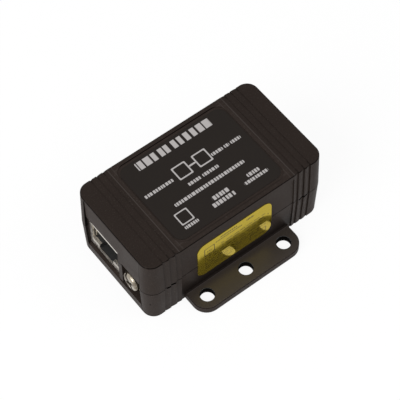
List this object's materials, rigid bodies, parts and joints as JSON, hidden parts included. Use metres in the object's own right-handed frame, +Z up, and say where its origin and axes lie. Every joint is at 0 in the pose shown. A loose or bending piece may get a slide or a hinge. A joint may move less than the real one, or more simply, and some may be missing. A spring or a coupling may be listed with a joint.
{
  "type": "ethernet surge protector",
  "caption": "Inline surge protector for a shielded network lead: snap-fit plastic box with shielded modular jacks in its ends, an earth screw and a side flange with screw holes.",
  "frame": {"origin": "centre of the box's flat base, on the surface that it is fixed to", "axes": "+X runs along the box away from the end with the earth screw, +Y points away from the flange, +Z is up"},
  "size_m": [0.0572, 0.0389, 0.025],
  "materials": {
    "shell": "satin, faintly grained",
    "board": "solder mask",
    "shield": "nickel plated sheet",
    "jack_plastic": "satin",
    "contact": "gold flashed wire",
    "fastener": "nickel plated",
    "bracket": "tin plated",
    "ceramic": "glazed ceramic and metal rims",
    "package": "moulded epoxy",
    "top_film": "satin film",
    "side_film": "glossy film"
  },
  "bodies": {
    "housing": {"upper_housing": "shell", "lower_housing": "shell", "circuit_board": "board", "earth_bracket": "bracket", "supply_clamp": "package", "top_label": "top_film", "side_label": "side_film", "jack_a_shield": "shield", "jack_a_body": "jack_plastic", "jack_a_carrier": "jack_plastic", "jack_a_contacts": "contact", "jack_b_shield": "shield", "jack_b_body": "jack_plastic", "jack_b_carrier": "jack_plastic", "jack_b_contacts": "contact", "gas_tube_1": "ceramic", "diode_array_1": "package", "gas_tube_2": "ceramic", "diode_array_2": "package", "gas_tube_3": "ceramic", "diode_array_3": "package", "gas_tube_4": "ceramic", "diode_array_4": "package"},
    "clamp": {"clamp_washer": "fastener"},
    "screw": {"earth_screw": "fastener"}
  },
  "joints": [
    {"name": "screw_travel", "type": "slide", "parent": "housing", "child": "clamp", "axis": [-1, 0, 0], "range_m": [0, 0.002]},
    {"name": "screw_turn", "type": "hinge", "parent": "clamp", "child": "screw", "pos_m": [-0.02668, -0.00685, 0.0085], "axis": [-1, 0, 0], "range_deg": [0, 1440]}
  ],
  "couplings": [
    {"joint": "screw_turn", "follows": "screw_travel", "rad_per_m": 12566}
  ]
}
